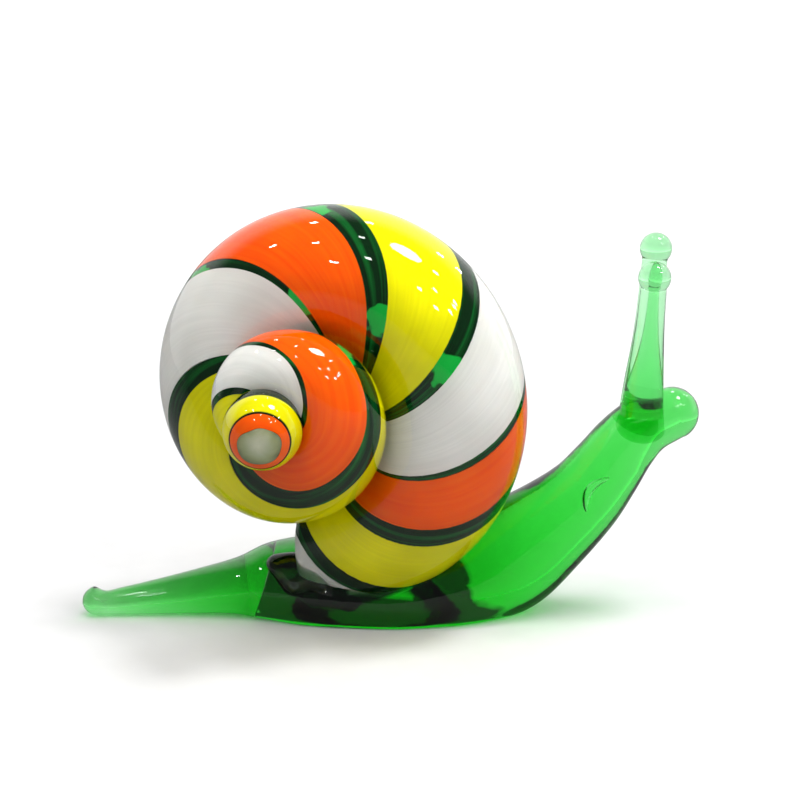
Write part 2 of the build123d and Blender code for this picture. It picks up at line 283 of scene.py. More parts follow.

# %% [markdown]
# The foot's glass has painted shade. Under the shell the foot looks dark, because the shell
# shades it and the glass shows the shadowed table. So its colour is darkened in three
# egg-shaped regions: along the sole, up the neck's root, and about the weld. Noise that is
# drawn out along the foot makes their border ragged. The thin rim that touches the table
# is left without painted shade, so it stays bright.

# %% Painted shade in the foot
# each region: its middle and its reach, in millimetres
PAINTED_SHADE_EGGS = (((-1.5, -4.0, 0.0), (14.5, 8.5, 3.9)), ((5.2, -4.0, 3.4), (3.2, 8.5, 4.3)),
             ((-9.3, -4.5, 3.2), (5.4, 8.5, 3.9)))
BRIGHT_RIM_MM = 0.55
SHADE_EDGE_MM = (9.0, 3.0, 1.8)
SHADE_EDGE_SHARE = 0.5
EGG_LIGHT, EGG_DARK = 1.3, 1.16
tree = foot_rod.node_tree
spot = add(tree, "ShaderNodeTexCoord")
sizes = []
for centre, reach in PAINTED_SHADE_EGGS:
    middle, scale = tuple(v * MM for v in centre), tuple(per_metre(v) for v in reach)
    offset = add(tree, "ShaderNodeVectorMath", {"operation": "SUBTRACT", 1: middle},
                 {0: spot.outputs["Object"]})
    egg = add(tree, "ShaderNodeVectorMath", {"operation": "MULTIPLY", 1: scale},
              {0: offset.outputs["Vector"]})
    sizes.append(add(tree, "ShaderNodeVectorMath", {"operation": "LENGTH"},
                     {0: egg.outputs["Vector"]}))
egg_size = sizes[0]
for other in sizes[1:]:
    egg_size = add(tree, "ShaderNodeMath", {"operation": "MINIMUM"},
                   {0: egg_size.outputs["Value"], 1: other.outputs["Value"]})
pulled = add(tree, "ShaderNodeMapping", {"Scale": tuple(per_metre(v) for v in SHADE_EDGE_MM)},
             {"Vector": spot.outputs["Object"]})
shade_edge_noise = add(tree, "ShaderNodeTexNoise", {"Scale": 1.0, "Detail": 3.0, "Distortion": 0.6},
            {"Vector": pulled.outputs["Vector"]})
ragged = add(tree, "ShaderNodeMath", {"operation": "MULTIPLY_ADD", 1: SHADE_EDGE_SHARE},
             {0: shade_edge_noise.outputs["Fac"], 2: egg_size.outputs["Value"]})
painted_shade_share = add(tree, "ShaderNodeMapRange", {"From Min": EGG_LIGHT, "From Max": EGG_DARK},
                 {"Value": ragged.outputs["Value"]})
height = add(tree, "ShaderNodeSeparateXYZ", {}, {0: spot.outputs["Object"]})
above_rim = add(tree, "ShaderNodeMapRange",
                {"From Min": 0.5 * BRIGHT_RIM_MM * MM, "From Max": BRIGHT_RIM_MM * MM},
                {"Value": height.outputs["Z"]})
painted_shade_share = add(tree, "ShaderNodeMath", {"operation": "MULTIPLY"},
                 {0: painted_shade_share.outputs["Result"], 1: above_rim.outputs["Result"]})
# painted shade: in those regions the glass's base colour turns to this deep green
painted_shade_tint = add(tree, "ShaderNodeMix", {"data_type": "RGBA", 6: linear("#ffffff"), 7: linear("#021c0a")},
           {"Factor": painted_shade_share.outputs["Value"]})
tree.links.new(painted_shade_tint.outputs[2], foot_bsdf.inputs["Base Color"])
print("dark regions about", [centre for centre, reach in PAINTED_SHADE_EGGS], "mm")

# %% [markdown]
# ## Opaque stripe glass
# The stripes are opaque soda-lime rods melted onto the core. Drawing the cane out stretches
# them, so their colour has streaks that run along the stripe, about 0.6 mm apart and many
# times longer. A stripe's mesh carries a map of millimetres along and around the cane for
# that. Opaque glass lets light in a little before it turns it back. It has no gloss of its
# own here, because it is melted to the casing: only the casing's outer skin shines.

# %% Opaque glass with drawn-out streaks
STREAK_MM = 0.6
STREAK_STRETCH = 14
DRIFT_MM = 9.0
STRIPE_ROUGH = 0.35
CANE_MAP = "cane_map"


def opaque_glass(name, body, streak, deep, depth_mm):
    """Opaque glass with streaks along the cane and a slow drift of colour."""
    made, tree = new_material(name)
    place = add(tree, "ShaderNodeUVMap", {"uv_map": CANE_MAP})
    drawn = add(tree, "ShaderNodeMapping",
                {"Scale": (1 / (STREAK_MM * STREAK_STRETCH), 1 / STREAK_MM, 1.0)},
                {"Vector": place.outputs["UV"]})
    streaks = add(tree, "ShaderNodeTexNoise", {"Scale": 1.0, "Detail": 4.0, "Roughness": 0.6},
                  {"Vector": drawn.outputs["Vector"]})
    sharper = add(tree, "ShaderNodeMapRange", {"From Min": 0.35, "From Max": 0.7},
                  {"Value": streaks.outputs["Fac"]})
    colour = add(tree, "ShaderNodeMix",
                 {"data_type": "RGBA", 6: linear(body), 7: linear(streak)},
                 {"Factor": sharper.outputs["Result"]})
    spot = add(tree, "ShaderNodeTexCoord")
    drift = add(tree, "ShaderNodeTexNoise", {"Scale": per_metre(DRIFT_MM), "Detail": 2.0},
                {"Vector": spot.outputs["Object"]})
    faint = add(tree, "ShaderNodeMapRange", {"From Min": 0.45, "From Max": 0.8, "To Max": 0.6},
                {"Value": drift.outputs["Fac"]})
    shaded = add(tree, "ShaderNodeMix", {"data_type": "RGBA", 7: linear(deep)},
                 {"Factor": faint.outputs["Result"], 6: colour.outputs[2]})
    bump = add(tree, "ShaderNodeBump", {"Strength": 0.15, "Distance": 0.05 * MM},
               {"Height": streaks.outputs["Fac"]})
    glass = add(tree, "ShaderNodeBsdfPrincipled",
                {"Roughness": STRIPE_ROUGH, "IOR": GLASS_IOR, "Specular IOR Level": 0.0,
                 "Subsurface Weight": 0.15, "Subsurface Scale": depth_mm * MM,
                 "Subsurface Radius": (1.0, 0.6, 0.4)},
                {"Base Color": shaded.outputs[2], "Normal": bump.outputs["Normal"]})
    add(tree, "ShaderNodeOutputMaterial", {}, {"Surface": glass.outputs["BSDF"]})
    return made


white_rod = opaque_glass("opaque_white_rod", "#e2e1dd", "#ebeae6", "#cfcec6", 0.5)
yellow_rod = opaque_glass("opaque_yellow_rod", "#e8e200", "#f4ee04", "#b2b200", 0.4)
orange_rod = opaque_glass("opaque_orange_rod", "#f55a02", "#fb6c05", "#e64402", 0.4)
print("stripe materials:", white_rod.name, yellow_rod.name, orange_rod.name)

# %% [markdown]
# ## Dark green core glass
# Between the stripes the eye looks into the green core. The stripes shut the light out of it,
# so it reads as nearly black green, with brighter streaks where light finds a way in. A full
# absorption inside the cane would show nothing else, so the core is made as dark glass with
# the streaks in its colour. In a few places the light that runs through the core comes out
# again as a bright green glint.

# %% Core glass
CORE_STREAK_MM = (12.0, 1.1)
INSIDE_ROUGH = 0.2
# the middle of each glint, in millimetres
GLINTS = ((-7.0, -3.4, 41.2), (-4.5, -12.6, 29.5), (5.4, -12.0, 28.2), (-0.6, -10.9, 32.5),
          (-18.1, -3.0, 34.9), (-8.4, -8.8, 33.8))
GLINT_REACH_MM, GLINT_SOFT_MM = 2.6, 0.2
GLINT_RAG_MM, GLINT_RAG_HEIGHT = 1.3, 2.4
core_rod, tree = new_material("dark_green_core_rod")
core_map = add(tree, "ShaderNodeUVMap", {"uv_map": CANE_MAP})
core_drawn = add(tree, "ShaderNodeMapping", {"Scale": (*[1 / v for v in CORE_STREAK_MM], 1.0)},
                 {"Vector": core_map.outputs["UV"]})
core_streaks = add(tree, "ShaderNodeTexNoise", {"Scale": 1.0, "Detail": 3.0},
                   {"Vector": core_drawn.outputs["Vector"]})
core_light = add(tree, "ShaderNodeMapRange", {"From Min": 0.5, "From Max": 0.72},
                 {"Value": core_streaks.outputs["Fac"]})
core_colour = add(tree, "ShaderNodeMix",
                  {"data_type": "RGBA", 6: linear("#03260c"), 7: linear("#0c6a28")},
                  {"Factor": core_light.outputs["Result"]})
core_spot = add(tree, "ShaderNodeTexCoord")
rag = add(tree, "ShaderNodeTexNoise", {"Scale": per_metre(GLINT_RAG_MM), "Detail": 1.0},
          {"Vector": core_spot.outputs["Object"]})
reaches = []
for place in GLINTS:
    reaches.append(add(tree, "ShaderNodeVectorMath",
                       {"operation": "DISTANCE", 1: tuple(v * MM for v in place)},
                       {0: core_spot.outputs["Object"]}))
nearest = reaches[0]
for other in reaches[1:]:
    nearest = add(tree, "ShaderNodeMath", {"operation": "MINIMUM"},
                  {0: nearest.outputs["Value"], 1: other.outputs["Value"]})
edge = add(tree, "ShaderNodeMath", {"operation": "MULTIPLY_ADD", 1: GLINT_RAG_HEIGHT * MM},
           {0: rag.outputs["Fac"], 2: nearest.outputs["Value"]})
glint = add(tree, "ShaderNodeMapRange",
            {"From Min": (GLINT_REACH_MM + GLINT_SOFT_MM) * MM, "From Max": GLINT_REACH_MM * MM},
            {"Value": edge.outputs["Value"]})
core_lit = add(tree, "ShaderNodeMix", {"data_type": "RGBA", 7: linear("#12b040")},
               {"Factor": glint.outputs["Result"], 6: core_colour.outputs[2]})
core_bsdf = add(tree, "ShaderNodeBsdfPrincipled",
                {"Roughness": INSIDE_ROUGH, "IOR": GLASS_IOR, "Specular IOR Level": 0.0},
                {"Base Color": core_lit.outputs[2]})
add(tree, "ShaderNodeOutputMaterial", {}, {"Surface": core_bsdf.outputs["BSDF"]})
print("core material:", core_rod.name)

# %% [markdown]
# ## The coil's path
# The cane's centre line winds about an axis that points at the viewer and a little to the
# left. Its distance from the axis, its rise along it, its thickness and its twist are tables
# with one value for each quarter turn, the same as in the part's source.

# %% The tables and the shell's own directions
CANE_RADIUS = 7.6
COIL_BEGIN, COIL_END = 0.1, 2.05
COIL_START = -126.0
COIL_GAP = 0.48
SWELL = 0.23
WALL = 0.42 / CANE_RADIUS
STRIPE = 0.6 / CANE_RADIUS
cane_share = (0.859, 0.945, 1.0, 0.976, 0.879, 0.728, 0.557, 0.403, 0.263, 0.21)
orbit_share = (2.275, 1.871, 1.505, 1.172, 0.892, 0.664, 0.5, 0.408, 0.375, 0.33)
rise_share = (-0.089, 0.118, 0.382, 0.697, 1.042, 1.383, 1.692, 1.947, 2.125, 2.25)
twist_share = (-0.678, 0.324, 1.178, 1.65, 2.056, 2.305, 2.471, 2.729, 3.25, 3.9)
yellow_share = (0.075, 0.335)
orange_share = (0.419, 0.655)
white_share = (0.68, 1.0)

apex_turn, apex_tilt = radians(22.1), radians(3.1)
apex_way = np.array([-sin(apex_turn) * cos(apex_tilt), -cos(apex_turn) * cos(apex_tilt),
                     sin(apex_tilt)])
right_way = np.array([cos(apex_turn), -sin(apex_turn), 0.0])
up_way = np.cross(apex_way, right_way)


def coil_offset(turn):
    """The cane's centre at a turn, from the shell's centre."""
    angle = radians(COIL_START) + 2 * pi * turn
    orbit, rise = (CANE_RADIUS * between(table, 4 * turn) for table in (orbit_share, rise_share))
    return orbit * (right_way * cos(angle) + up_way * sin(angle)) + apex_way * rise


# %% [markdown]
# The shell's centre is set by how high the cane's lowest point stands above the table. The
# cane's melted start is a rounded end, and it shrinks over a few more rings.

# %% Place the coil
END_TURN, END_SQUARENESS = 0.018, 2.4
STEPS = 150
SHELL_LEFT, SHELL_BACK, SHELL_LIFT = 5.5, 1.0, 1.1


def cane_size(turn):
    """The cane's outer radius, a little fuller than the CAD so that fused whorls touch."""
    return CANE_RADIUS * between(cane_share, 4 * turn) - COIL_GAP / 2 + SWELL


start_turns = COIL_BEGIN - END_TURN * np.cos(np.linspace(0, pi / 2, 9))[:-1]
coil_turns = np.linspace(COIL_BEGIN, COIL_END, int((COIL_END - COIL_BEGIN) * STEPS))
turns = np.concatenate([start_turns, coil_turns])
lowest = min(coil_offset(t)[2] - cane_size(t) + SWELL for t in coil_turns)
shell_centre = np.array([-SHELL_LEFT, SHELL_BACK, SHELL_LIFT - lowest])
print("shell centre:", np.round(shell_centre, 2))


def roundness(turn):
    """How much of its radius the cane still has at its melted start."""
    s = min(max((COIL_BEGIN - turn) / END_TURN, 0.0), 1.0)
    return max(1 - s**END_SQUARENESS, 1e-6) ** (1 / END_SQUARENESS)


def coil_axes(turn):
    """The cane's centre and two cross-directions: out from the shell's axis, and to the apex."""
    nudge = 0.001
    here = coil_offset(turn)
    along = unit(coil_offset(turn + nudge) - coil_offset(turn - nudge))
    out = here - apex_way * here.dot(apex_way)
    out = unit(out - along * out.dot(along))
    return shell_centre + here, out, np.cross(-along, out)


def coil_ring(turn, angles, radii):
    """Points across the cane, from angles in degrees and radii in millimetres."""
    centre, out, side = coil_axes(turn)
    a = np.radians(angles)[:, None]
    return centre + np.asarray(radii)[:, None] * (np.cos(a) * out + np.sin(a) * side)


# %% [markdown]
# ## The stripes
# Each stripe is a band of opaque glass about 0.6 mm deep that lies under the casing and
# twists round the cane. Hand-applied stripes are never quite even, so each edge wanders by a
# small amount that repeats at no simple interval.

# %% Map of the cane
def edge_wander(turn, phase):
    """A small drift of a stripe's edge, in turns about the cane."""
    return 0.003 * (sin(19 * turn + phase) + 0.6 * sin(47 * turn + 2 * phase))


def write_map(piece, values):
    """Writes a pair of millimetres for each point as the piece's map."""
    layer = piece.data.uv_layers.new(name=CANE_MAP)
    corners = np.array([loop.vertex_index for loop in piece.data.loops])
    layer.data.foreach_set("uv", values[corners].astype(np.float32).ravel())


def map_cane(piece, lengths, angles, radii):
    """Maps a skin by millimetres along and around the cane."""
    size = len(angles[0])
    around = np.array([np.radians(a) * r for a, r in zip(angles, radii)])
    values = np.stack([np.repeat(lengths, size), around.ravel()], -1)
    write_map(piece, np.vstack([values, values[0], values[-1]]))


centres = np.array([coil_axes(t)[0] for t in turns])
steps_mm = np.linalg.norm(np.diff(centres, axis=0), axis=1)
cane_length = np.concatenate([[0.0], np.cumsum(steps_mm)])
print(f"the cane is {cane_length[-1]:.0f} mm long")


# %% Stripes
BAND_POINTS = 28


def stripe(name, span, phase):
    """One stripe as a closed band along the cane."""
    rings, angles, radii = [], [], []
    for turn in turns:
        twist = between(twist_share, 4 * turn)
        low = 360 * (span[0] - twist + edge_wander(turn, phase))
        high = 360 * (span[1] - twist + edge_wander(turn, phase + 2))
        across = np.linspace(low, high, BAND_POINTS)
        size = cane_size(turn) * roundness(turn)
        top, floor = size * (1 - WALL), size * (1 - WALL - STRIPE)
        ring_angles = np.concatenate([across, across[::-1]])
        ring_radii = np.repeat([top, floor], BAND_POINTS)
        rings.append(coil_ring(turn, ring_angles, ring_radii))
        angles.append(ring_angles)
        radii.append(ring_radii)
    piece = skin(name, rings, soft=False)
    # the map goes by the untwisted angle, so that streaks follow the stripe
    map_cane(piece, cane_length, [a - a[0] for a in angles], radii)
    return piece


settle(stripe("white_band", white_share, 0.0), "white_stripe", white_rod)
settle(stripe("yellow_band", yellow_share, 1.3), "yellow_stripe", yellow_rod)
settle(stripe("orange_band", orange_share, 2.6), "orange_stripe", orange_rod)

# %% [markdown]
# ## Core and casing
# The core fills the cane between the stripes, so it has grooves that hold them and ribs that
# come up to the casing. The casing is melted to what is under it: it is drawn as one body of
# clear glass over the cane, because an inner face would show as a film of air.

# %% Core
GROOVE_POINTS, RIB_POINTS = 26, 14
GROOVE_EASE, RIB_EASE = 1.0, 0.5


def core_ring(turn):
    """Angles and radii of the core: a groove under each stripe and a rib between stripes."""
    spans = (yellow_share, orange_share, white_share)
    twist = between(twist_share, 4 * turn)
    size = cane_size(turn) * roundness(turn)
    rib, rod = size * (1 - WALL), size * (1 - WALL - STRIPE) * 0.995
    angles, radii = [], []
    for span, after in zip(spans, spans[1:] + spans[:1]):
        wrap = 1 if after is spans[0] else 0
        low, high, following = (360 * (s - twist) for s in (span[0], span[1], after[0] + wrap))
        angles += [*np.linspace(low + GROOVE_EASE, high - GROOVE_EASE, GROOVE_POINTS)]
        angles += [*np.linspace(high - RIB_EASE, following + RIB_EASE, RIB_POINTS)]
        radii += [rod] * GROOVE_POINTS + [rib * 0.999] * RIB_POINTS
    return np.array(angles), np.array(radii)


core_data = [core_ring(t) for t in turns]
core = skin("core_rod", [coil_ring(t, *data) for t, data in zip(turns, core_data)], soft=False)
map_cane(core, cane_length, [a - a[0] for a, r in core_data], [r for a, r in core_data])
settle(core, "cane_core", core_rod)

# %% Casing
CASING_POINTS = 96
around = np.linspace(0, 360, CASING_POINTS, endpoint=False)
casing_rings = [coil_ring(t, around, np.full(CASING_POINTS, cane_size(t) * roundness(t)))
                for t in turns]
settle(skin("casing", casing_rings), "cane_casing", casing_glass)

# %% [markdown]
# ## The drop at the apex
# The cane ends in a drop of glass. It was cut from the flame and rounded, so its layers close
# over it like a cap: a clear dome, a yellow ring, an orange ring, and a clear tip through
# which the grey green inside shows.

# %% Where the drop sits
DROP_RADIUS, DROP_WALL, DROP_STRIPE = 3.75, 0.34, 0.55
DROP_POINTS = 96
drop_turn, drop_tilt = radians(2.3), radians(9.2)
drop_way = np.array([-sin(drop_turn) * cos(drop_tilt), -cos(drop_turn) * cos(drop_tilt),
                     -sin(drop_tilt)])
drop_across = unit(np.cross(drop_way, (0, 0, 1)))
drop_rise = np.cross(drop_across, drop_way)
drop_low, drop_high = (np.array(corner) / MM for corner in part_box("drop_casing"))
drop_centre = np.array([(drop_low[0] + drop_high[0]) / 2, drop_low[1] + DROP_RADIUS,
                        drop_low[2] + DROP_RADIUS])
drop_around = np.linspace(0, 2 * pi, DROP_POINTS, endpoint=False)
print("drop centre:", np.round(drop_centre, 2))


def drop_ring(angle, radius, back=0.0):
    """A ring of the drop at an angle from its tip, moved back along its axis.

    The angle is one for the whole ring, or one for each of its points.
    """
    a = drop_around[:, None]
    t = np.radians(np.broadcast_to(angle, DROP_POINTS))[:, None]
    spokes = np.cos(a) * drop_across + np.sin(a) * drop_rise
    return drop_centre - drop_way * back + radius * (np.cos(t) * drop_way + np.sin(t) * spokes)


# %% [markdown]
# The rings lie at angles from the drop's tip. The clear tip is not quite round, because it was
# stirred while it was soft, so the orange ring's inner edge wanders by a few degrees.

# %% Rings of the drop
ORANGE_END, YELLOW_BEGIN, YELLOW_END = 50, 54, 88
CAP_BAND_POINTS = 10
ring_top = DROP_RADIUS - DROP_WALL
ring_floor = ring_top - DROP_STRIPE
tip_edge = (34 - 5 * np.sin(drop_around) + 2.2 * np.cos(2 * drop_around + 0.6)
            + 0.8 * np.sin(5 * drop_around))


def drop_band(name, first, last):
    """A ring-shaped band of the drop: out over its top and back along its floor."""
    radii = np.repeat([ring_top, ring_floor], CAP_BAND_POINTS)[:, None]
    rings = []
    for turn, begin in zip(drop_around, np.broadcast_to(first, DROP_POINTS)):
        spoke = cos(turn) * drop_across + sin(turn) * drop_rise
        outward = np.linspace(begin, last, CAP_BAND_POINTS)
        t = np.radians(np.concatenate([outward, outward[::-1]]))
        arc = np.cos(t)[:, None] * drop_way + np.sin(t)[:, None] * spoke
        rings.append(drop_centre + radii * arc)
    count, size = len(rings), len(radii)
    piece = make_piece(name, np.vstack(rings), quads(count, size, looped=True), soft=False)
    # the map's second value comes from the last slice, as all the slices are nearly alike
    values = np.stack([np.repeat(drop_around, size), np.tile(t, count)], -1)
    write_map(piece, values * ring_top)
    print(f"{name}: a band that ends {last} degrees from the tip")
    return piece


settle(drop_band("yellow_cap_ring", YELLOW_BEGIN, YELLOW_END),
       "drop_yellow_ring", yellow_rod)
settle(drop_band("orange_cap_ring", tip_edge, ORANGE_END),
       "drop_orange_ring", orange_rod)

# %% [markdown]
# The drop's inside is dark green at its back and turns to a milky grey at the tip. Its colour
# follows the distance from the tip, with the soft streaks that stirring leaves.

# %% Glass at the tip
STIR_MM, STIR_SHIFT_MM = 1.6, 1.1
GREY_UNTIL_MM, GREEN_FROM_MM = 0.5, 3.3
OLIVE_PLACE = 0.62
tip_glass, tree = new_material("stirred_tip_glass")
tip = (drop_centre + drop_way * ring_top) * MM
spot = add(tree, "ShaderNodeTexCoord")
from_tip = add(tree, "ShaderNodeVectorMath", {"operation": "DISTANCE", 1: tuple(tip)},
               {0: spot.outputs["Object"]})
stir = add(tree, "ShaderNodeTexNoise",
           {"Scale": per_metre(STIR_MM), "Detail": 3.0, "Distortion": 0.8},
           {"Vector": spot.outputs["Object"]})
stirred = add(tree, "ShaderNodeMath", {"operation": "MULTIPLY_ADD", 1: STIR_SHIFT_MM * MM},
              {0: stir.outputs["Fac"], 2: from_tip.outputs["Value"]})
reach = add(tree, "ShaderNodeMapRange",
            {"From Min": GREY_UNTIL_MM * MM, "From Max": GREEN_FROM_MM * MM},
            {"Value": stirred.outputs["Value"]})
ramp = add(tree, "ShaderNodeValToRGB", {}, {"Fac": reach.outputs["Result"]})
ramp.color_ramp.elements[0].color = linear("#c9cdb9")
ramp.color_ramp.elements[1].color = linear("#06240e")
ramp.color_ramp.elements.new(OLIVE_PLACE).color = linear("#8f9a72")
tip_bsdf = add(tree, "ShaderNodeBsdfPrincipled",
               {"Roughness": INSIDE_ROUGH, "IOR": GLASS_IOR, "Specular IOR Level": 0.0},
               {"Base Color": ramp.outputs["Color"]})
add(tree, "ShaderNodeOutputMaterial", {}, {"Surface": tip_bsdf.outputs["BSDF"]})
print("tip material:", tip_glass.name)

# %% Inside of the drop
INSET, TIP_GAP = 0.03, 1.6
RIB_ANGLES = (50.6, 52, 53.4)
BACK_TAPER = 0.2
inner_top, inner_floor = ring_top - INSET, ring_floor - INSET
inside_rings = [drop_ring(1 + (tip_edge - TIP_GAP) * s, inner_top)
                for s in np.linspace(0, 1, 10)]
inside_rings += [drop_ring(tip_edge + (ORANGE_END - tip_edge) * s, inner_floor)
                 for s in np.linspace(0, 1, 8)]
inside_rings += [drop_ring(a, inner_top) for a in RIB_ANGLES]
inside_rings += [drop_ring(a, inner_floor) for a in np.linspace(YELLOW_BEGIN, 90, 10)]
inside_rings += [drop_ring(90, inner_floor - BACK_TAPER * back, back)
                 for back in (0.6, 1.2, 1.8)]
settle(skin("cap_core", inside_rings, soft=False), "drop_core", tip_glass)

# %% Clear dome of the drop
DOME_TAPER, DOME_BEND = 0.12, 1.6
dome_rings = [drop_ring(a, DROP_RADIUS) for a in np.linspace(1, 90, 30)]
dome_rings += [drop_ring(90, DROP_RADIUS - DOME_TAPER * back**DOME_BEND, back)
               for back in (0.4, 0.8, 1.2, 1.6, 2.0)]
settle(skin("cap_dome", dome_rings), "drop_casing", casing_glass)

# %% [markdown]
# ## Foot, neck, head and tail
# One gather of hot glass was pulled up into the neck and the head, and a second one was pulled
# out into the tail. Both are pressed flat underneath. Their slices are ovals from tables, the
# same as in the part's source, and run from the tail's bead to the head.

# %% Slices of the body
TAIL_REACH, TAIL_SWAY, BEAD_RADIUS = 29.5, 1.8, 1.45
HALF_WIDTH, HALF_HEIGHT = 6.9, 5.5
NECK_REACH, HEAD_HEIGHT, HEAD_RADIUS = 28.2, 20.6, 2.65
SOLE_SOFTNESS = 0.25
tail_shares = (
    (0.97, 0.19, 0.22, 0.99), (0.915, 0.22, 0.25, 0.97), (0.81, 0.28, 0.31, 0.96),
    (0.67, 0.38, 0.40, 0.95), (0.525, 0.52, 0.51, 0.93), (0.41, 0.69, 0.73, 0.72),
    (0.25, 0.88, 0.93, 0.48), (0.0, 1.0, 1.0, 0.40),
)
neck_shares = (
    (0.18, 0.135, 0.95, 1.02), (0.29, 0.18, 0.88, 1.02), (0.423, 0.28, 0.72, 1.08),
    (0.548, 0.405, 0.62, 0.93), (0.69, 0.575, 0.53, 0.76), (0.771, 0.718, 0.49, 0.67),
    (0.84, 0.852, 0.45, 0.6), (0.91, 0.945, 0.42, 0.54), (1.0, 1.0, 0.384, 0.48),
)
neck_tilts = (6, 16, 33, 45, 48, 53, 50, 36, 20)

# each slice: middle x, y, z, tilt in degrees, half width, half height
slices = []
for back in (88, 80, 66, 48, 28, 8):
    size = BEAD_RADIUS * cos(radians(back))
    end = -TAIL_REACH - BEAD_RADIUS * sin(radians(back))
    slices.append((end, -TAIL_SWAY, BEAD_RADIUS, 0, size, size))
for reach, width, height, lift in tail_shares:
    wide, tall = HALF_WIDTH * width, HALF_HEIGHT * height
    slices.append((-TAIL_REACH * reach, -TAIL_SWAY * reach * reach, tall * lift, 0, wide, tall))
for (reach, rise, width, height), tilt in zip(neck_shares, neck_tilts):
    wide, tall = HALF_WIDTH * width, HALF_HEIGHT * height
    slices.append((NECK_REACH * reach, 0, HEAD_HEIGHT * rise, tilt, wide, tall))
head_centre = np.array([NECK_REACH, 0, HEAD_HEIGHT])
head_tilt = neck_tilts[-1]
head_way = np.array([cos(radians(head_tilt)), 0, sin(radians(head_tilt))])
for ahead in (14, 30, 48, 66, 80, 88):
    middle = head_centre + head_way * HEAD_RADIUS * sin(radians(ahead))
    size = HEAD_RADIUS * cos(radians(ahead))
    slices.append((*middle, head_tilt, size, size))
slices = np.array(slices, float)
print("body slices:", len(slices))


# %% Rings of the body
BODY_RINGS, BODY_POINTS = 240, 96


def body_ring(place):
    """An oval slice of the body, pressed flat where it meets the table."""
    x, y, z, tilt, width, height = between(slices, place)
    a = np.linspace(0, 2 * pi, BODY_POINTS, endpoint=False)[:, None]
    side = np.array([0, 1, 0])
    up = np.array([-sin(radians(tilt)), 0, cos(radians(tilt))])
    ring = np.array([x, y, z]) + width * np.sin(a) * side - height * np.cos(a) * up
    ring[:, 2] = (ring[:, 2] + np.sqrt(ring[:, 2] ** 2 + SOLE_SOFTNESS**2)) / 2
    return ring


body_rings = [body_ring(place) for place in np.linspace(0, len(slices) - 1, BODY_RINGS)]
print("body reaches", round(max(r[:, 0].max() for r in body_rings), 1), "mm ahead")

# %% [markdown]
# The two gathers are fused at a leaning joint that still shows in the glass as a bright line.
# So the body is skinned as one, cut there, and each side is closed again.

# %% Cut the body at the joint
JOINT_REACH, JOINT_LEAN, JOINT_FILM = 13.6, radians(17), 0.04
joint_way = np.array([cos(JOINT_LEAN), 0, -sin(JOINT_LEAN)])


def part_of_body(name, keep):
    """The body on one side of the joint, closed with a flat face. keep is 1 ahead, -1 behind."""
    piece = skin(name, body_rings)
    shape = bmesh.new()
    shape.from_mesh(piece.data)
    place = (np.array([-JOINT_REACH, 0, 0]) + joint_way * JOINT_FILM * keep) * MM
    cut = bmesh.ops.bisect_plane(shape, geom=[*shape.verts, *shape.edges, *shape.faces],
                                 plane_co=place, plane_no=joint_way,
                                 clear_inner=keep > 0, clear_outer=keep < 0)
    rim = [e for e in cut["geom_cut"] if isinstance(e, bmesh.types.BMEdge)]
    closed = bmesh.ops.contextual_create(shape, geom=rim)["faces"]
    bmesh.ops.recalc_face_normals(shape, faces=shape.faces)
    shape.to_mesh(piece.data)
    shape.free()
    piece.data.shade_smooth()
    piece.data.set_sharp_from_angle(angle=SHARP_EDGE)
    print(f"{name}: joint closed with {len(closed)} face")
    return piece


settle(part_of_body("tail_gather", -1), "tail", tail_rod)
foot = settle(part_of_body("foot_neck_head", 1), "foot_and_neck", foot_rod)

# %% [markdown]
# ## A bubble in the neck
# A lens of air was shut into the neck as it was pulled. A bubble is the same surface as a
# piece's skin but turned inside out, so it is added to the neck's mesh with flipped faces.

# %% Add the bubble
BUBBLE_MIDDLE = np.array([20.7, -1.7, 12.8])
BUBBLE_LONG, BUBBLE_WIDE, BUBBLE_BEND = 2.1, 0.42, -0.8
bubble_way = unit([2.2, 0, 3.3])
bubble_side = unit(np.cross((0, 1, 0), bubble_way))
shape = bmesh.new()
shape.from_mesh(foot.data)
ball = bmesh.ops.create_uvsphere(shape, u_segments=24, v_segments=16, radius=1.0)["verts"]
for vert in ball:
    x, y, z = vert.co
    bend = BUBBLE_BEND * (1 - z * z)
    place = (BUBBLE_MIDDLE + bubble_way * BUBBLE_LONG * z + bubble_side * (BUBBLE_WIDE * x + bend)
             + np.array([0, 1, 0]) * BUBBLE_WIDE * y)
    vert.co = place * MM
ball_faces = {f for v in ball for f in v.link_faces}
bmesh.ops.recalc_face_normals(shape, faces=list(ball_faces))
for face in ball_faces:
    face.normal_flip()
    face.smooth = True
shape.to_mesh(foot.data)
shape.free()
print("bubble faces:", len(ball_faces))

# %% [markdown]
# ## Tentacles
# Each tentacle is a rod end melted to a ball, pulled thin and stuck into the back of the head.
# It is a round profile turned about the line from its root to its ball. The root is rounded,
# because it sank into the hot glass.

# %% Tentacles
ROOT_RADIUS, TIP_RADIUS, BALL_RADIUS = 1.95, 1.25, 1.58
ROOT_CAP = 1.3
STALK_RINGS, BALL_RINGS, STALK_POINTS = 60, 30, 64


